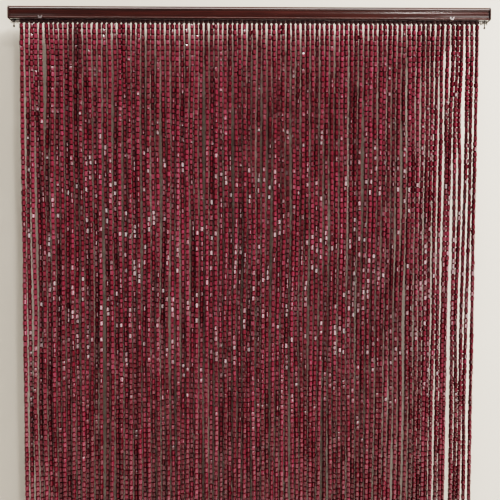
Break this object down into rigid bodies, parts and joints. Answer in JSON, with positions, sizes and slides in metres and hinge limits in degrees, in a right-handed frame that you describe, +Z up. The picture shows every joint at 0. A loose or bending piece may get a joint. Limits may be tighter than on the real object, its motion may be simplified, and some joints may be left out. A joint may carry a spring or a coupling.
{
  "type": "bead curtain on a track rail",
  "caption": "Door curtain of hanging strands of lacquered beads on runners in a moulded headrail with an aluminium track, end caps, end stops and clips.",
  "frame": {"origin": "centre of the headrail's flat back face", "axes": "+X to the right seen from the front, +Y from the front of the curtain to the wall behind it, +Z up"},
  "size_m": [0.9, 0.0211, 1.8],
  "materials": {
    "headrail_lacquer": "glossy dark mahogany lacquer with a faint grain",
    "track_aluminium": "satin drawn aluminium",
    "cap_plastic": "dark brown moulded plastic",
    "small_steel": "bright spring steel",
    "bead_lacquer": "glossy burgundy lacquer over wood, each bead its own shade"
  },
  "bodies": {
    "root": {"headrail": "headrail_lacquer", "track": "track_aluminium", "end_cap_left": "cap_plastic", "end_cap_right": "cap_plastic", "end_stop_left": "small_steel", "end_stop_right": "small_steel", "clip_left": "small_steel", "clip_right": "small_steel", "strands": "bead_lacquer"}
  },
  "joints": []
}
